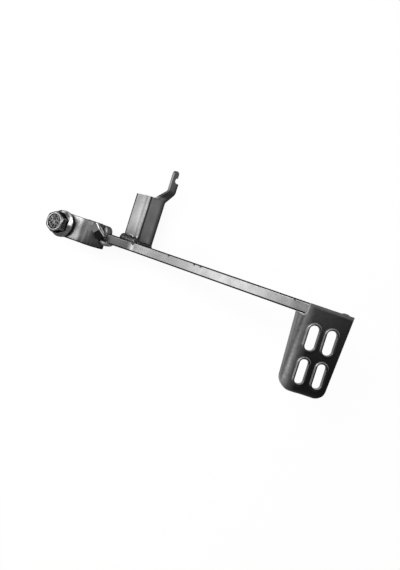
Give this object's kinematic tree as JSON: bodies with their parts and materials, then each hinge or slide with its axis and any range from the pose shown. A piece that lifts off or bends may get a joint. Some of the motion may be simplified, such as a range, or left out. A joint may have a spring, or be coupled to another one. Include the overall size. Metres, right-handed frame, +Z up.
{
  "type": "brake pedal",
  "caption": "Foot brake pedal: flat steel arm with a pinch-clamp pivot hub, a slotted pressed foot pad and a stepped spring-hook bracket.",
  "frame": {"origin": "centre of the pivot sleeve's bore, midway between its ends", "axes": "+X from the pivot towards the foot pad, +Y along the pivot axis towards the spring bracket, +Z up, out of the pad's face"},
  "size_m": [0.2973, 0.1606, 0.124],
  "materials": {
    "satin_steel": "satin",
    "black_paint": "satin",
    "plated_steel": "satin",
    "bearing_bronze": "satin",
    "weld_metal": "rough"
  },
  "bodies": {
    "pivot": {"pivot_sleeve": "plated_steel"},
    "pedal": {"pivot_bush_bracket_side": "bearing_bronze", "pivot_bush_pad_side": "bearing_bronze", "hub_clamp": "satin_steel", "clamp_bolt": "plated_steel", "bolt_washer": "plated_steel", "arm_bar": "satin_steel", "hub_weld_bracket_side": "weld_metal", "hub_weld_pad_side": "weld_metal", "weld_nut": "satin_steel", "nut_weld": "weld_metal", "hook_bracket": "satin_steel", "bracket_weld": "weld_metal", "foot_pad": "black_paint", "pad_welds": "weld_metal"}
  },
  "joints": [
    {"name": "pedal_swing", "type": "hinge", "parent": "pivot", "child": "pedal", "pos_m": [0, 0, 0], "axis": [0, 1, 0], "range_deg": [0, 15], "stiffness_Nm_per_rad": 10, "springref_deg": -17.19}
  ]
}
